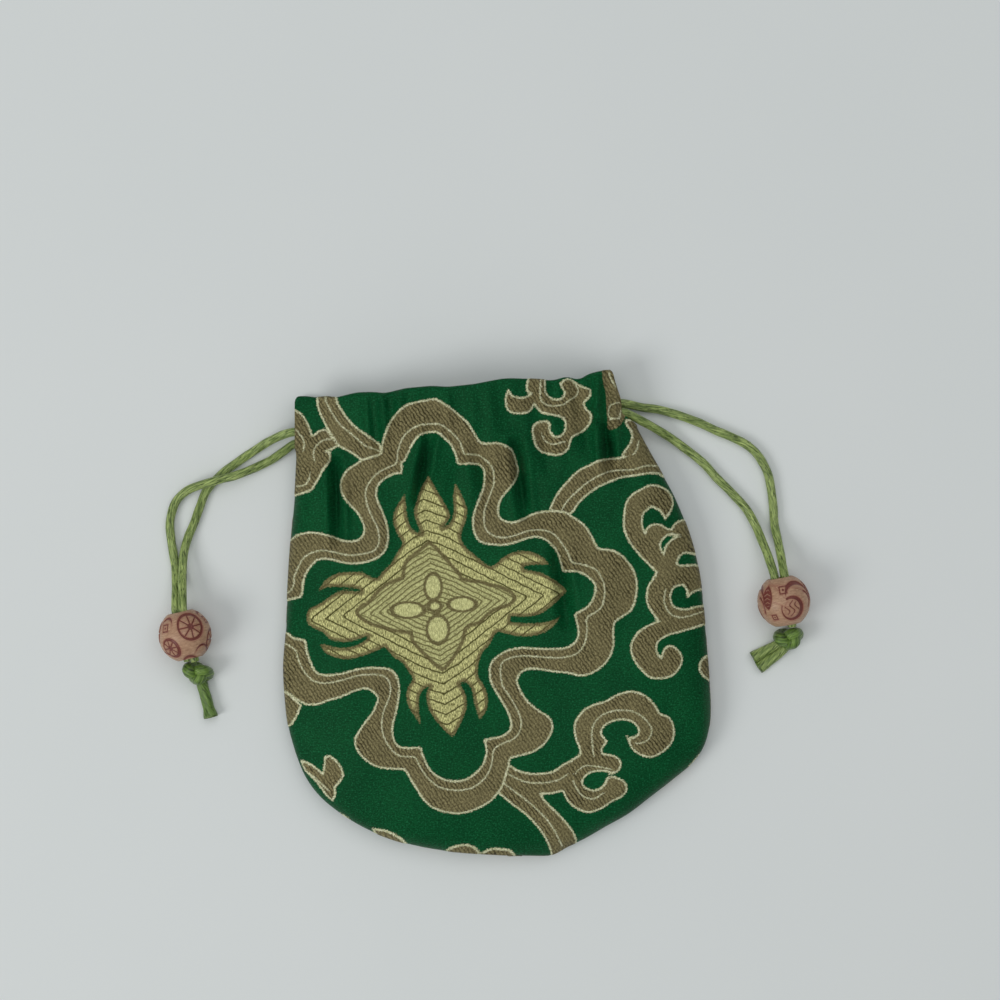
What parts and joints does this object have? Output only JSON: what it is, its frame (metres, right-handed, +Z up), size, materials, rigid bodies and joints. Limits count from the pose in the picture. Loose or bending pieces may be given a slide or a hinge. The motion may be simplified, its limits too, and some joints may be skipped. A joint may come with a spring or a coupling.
{
  "type": "jewelry pouch",
  "caption": "Small flat-lying satin brocade drawstring pouch with cords out to both sides, each ending in a carved wooden bead and a knot.",
  "frame": {"origin": "under the middle of the cloth body, on the surface that the pouch lies on", "axes": "+Y from the bottom of the pouch to its mouth, +Z up out of the surface, +X to the right as seen from above"},
  "size_m": [0.1492, 0.1116, 0.0153],
  "materials": {
    "brocade": "satin",
    "satin_cord": "satin",
    "carved_wood": "polished"
  },
  "bodies": {
    "root": {"front_panel": "brocade", "back_panel": "brocade", "hem_front": "brocade", "hem_back": "brocade", "cord_left_loop": "satin_cord", "cord_right_loop": "satin_cord", "cord_left_front": "satin_cord", "cord_left_back": "satin_cord", "cord_right_back": "satin_cord", "cord_right_front": "satin_cord", "bead_left": "carved_wood", "bead_right": "carved_wood", "knot_left": "satin_cord", "knot_right": "satin_cord", "tail_left": "satin_cord", "tail_right_a": "satin_cord", "tail_right_b": "satin_cord"}
  },
  "joints": []
}
